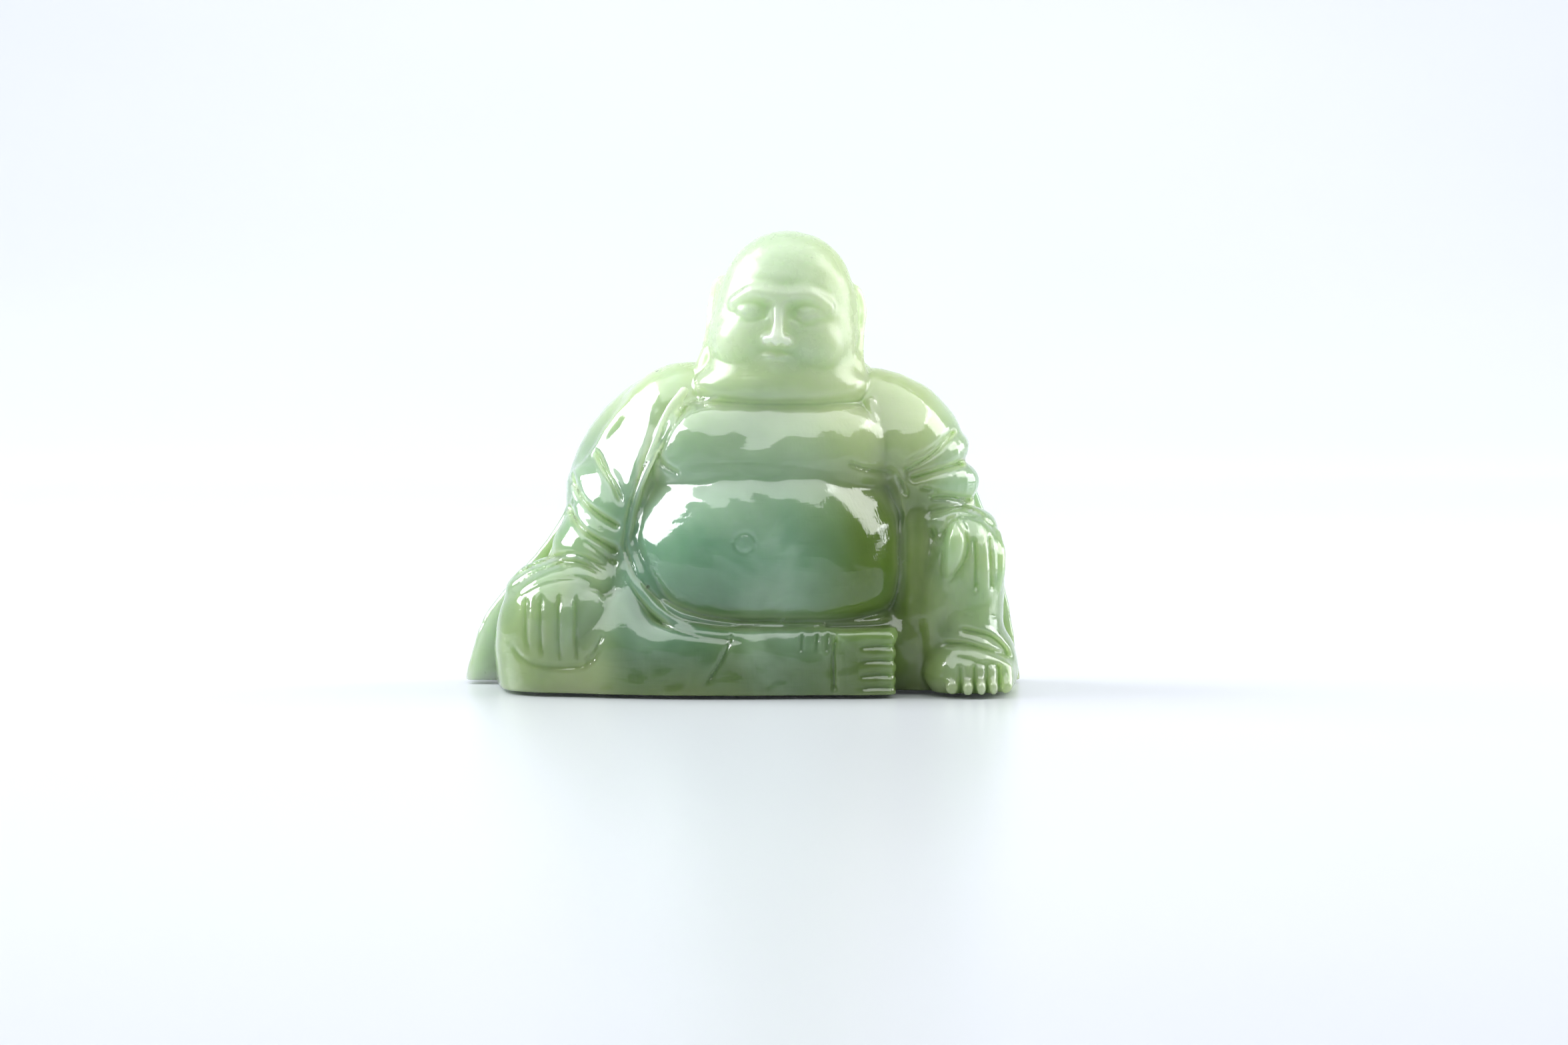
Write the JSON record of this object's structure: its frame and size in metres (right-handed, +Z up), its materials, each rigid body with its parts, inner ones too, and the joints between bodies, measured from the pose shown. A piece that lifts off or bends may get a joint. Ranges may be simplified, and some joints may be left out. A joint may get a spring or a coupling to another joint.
{
  "type": "carved figurine",
  "caption": "Small seated robed figurine carved from one translucent green stone, with a flat underside to stand on a shelf.",
  "frame": {"origin": "middle of the bounding box's bottom face, on the surface it stands on", "axes": "+X to the figure's own left, which is the viewer's right from the front; -Y the way the figure faces; +Z up"},
  "size_m": [0.06, 0.028, 0.0485],
  "materials": {
    "stone_pale": "polished, translucent green stone",
    "stone_mid": "polished, translucent green stone",
    "stone_deep": "polished, translucent green stone"
  },
  "bodies": {
    "root": {"head": "stone_pale", "ear_left": "stone_pale", "ear_right": "stone_pale", "neck": "stone_pale", "chest": "stone_mid", "belly": "stone_deep", "collar": "stone_pale", "lapel_left": "stone_mid", "lapel_right": "stone_mid", "robe_hem": "stone_deep", "shoulder_left": "stone_pale", "shoulder_right": "stone_pale", "sleeve_folds_left": "stone_mid", "sleeve_folds_right": "stone_mid", "cuff_left": "stone_mid", "cuff_right": "stone_mid", "hand_left": "stone_deep", "hand_right": "stone_deep", "leg_left": "stone_deep", "leg_right": "stone_deep", "foot_left": "stone_deep", "foot_right": "stone_deep", "lap": "stone_deep", "mantle": "stone_mid", "train_left": "stone_mid", "train_right": "stone_mid"}
  },
  "joints": []
}
